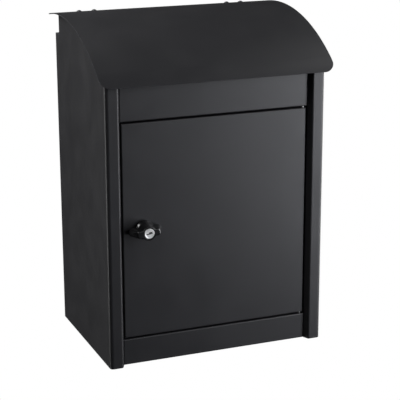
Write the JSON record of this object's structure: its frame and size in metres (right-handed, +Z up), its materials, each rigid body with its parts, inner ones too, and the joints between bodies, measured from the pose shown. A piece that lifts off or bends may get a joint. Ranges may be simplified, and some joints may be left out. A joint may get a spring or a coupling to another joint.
{
  "type": "lockable mailbox",
  "caption": "Sheet-steel mailbox with a curved hinged lid over the letter mouth and a side-hung front door closed by a winged locking knob.",
  "frame": {"origin": "centre of the bottom of the whole mailbox, on the surface it stands on", "axes": "+Z up, +Y towards the back (the wall), +X to the right seen from the front"},
  "size_m": [0.424, 0.302, 0.585],
  "materials": {
    "powder_coat": "satin black powder coat",
    "coated_rivet": "satin black coated steel",
    "zinc_steel": "bright zinc plate",
    "black_plastic": "gloss black moulding",
    "cylinder_nickel": "satin nickel",
    "rubber": "matt black rubber",
    "nylon": "natural nylon"
  },
  "bodies": {
    "cabinet": {"left_side_panel": "powder_coat", "right_side_panel": "powder_coat", "back_panel": "powder_coat", "floor_panel": "powder_coat", "lower_front_panel": "powder_coat", "upper_front_panel": "powder_coat", "mail_baffle": "powder_coat", "strike_plate": "zinc_steel", "door_stop_pads": "rubber", "lid_bumpers": "rubber", "upper_pivot_pin": "zinc_steel", "lower_pivot_pin": "zinc_steel", "left_hinge_fixed_leaf": "zinc_steel", "right_hinge_fixed_leaf": "zinc_steel", "left_hinge_pin": "zinc_steel", "right_hinge_pin": "zinc_steel", "hinge_wall_rivets": "coated_rivet"},
    "lid": {"lid_sheet": "powder_coat", "left_hinge_lid_leaf": "zinc_steel", "right_hinge_lid_leaf": "zinc_steel", "lid_rivets": "coated_rivet"},
    "door": {"door_panel": "powder_coat", "door_stiffener": "powder_coat", "upper_pivot_bush": "nylon", "lower_pivot_bush": "nylon", "lock_housing": "black_plastic", "lock_gasket": "rubber", "lock_nut": "zinc_steel"},
    "knob": {"knob_grip": "black_plastic", "cylinder_shell": "cylinder_nickel", "knob_spindle": "zinc_steel", "latch_cam": "zinc_steel", "cam_washer": "zinc_steel", "cam_nut": "zinc_steel"},
    "key_plug": {"key_plug": "cylinder_nickel"}
  },
  "joints": [
    {"name": "lid_hinge", "type": "hinge", "parent": "cabinet", "child": "lid", "pos_m": [0, 0.13, 0.57541], "axis": [-1, 0, 0], "range_deg": [0, 90]},
    {"name": "door_hinge", "type": "hinge", "parent": "cabinet", "child": "door", "pos_m": [0.1652, -0.1163, 0.232], "axis": [0, 0, 1], "range_deg": [0, 110]},
    {"name": "knob_turn", "type": "hinge", "parent": "door", "child": "knob", "pos_m": [-0.1327, -0.121, 0.243], "axis": [0, 1, 0], "range_deg": [0, 90]},
    {"name": "key_turn", "type": "hinge", "parent": "knob", "child": "key_plug", "pos_m": [-0.1327, -0.145, 0.243], "axis": [0, 1, 0], "range_deg": [0, 90]}
  ]
}
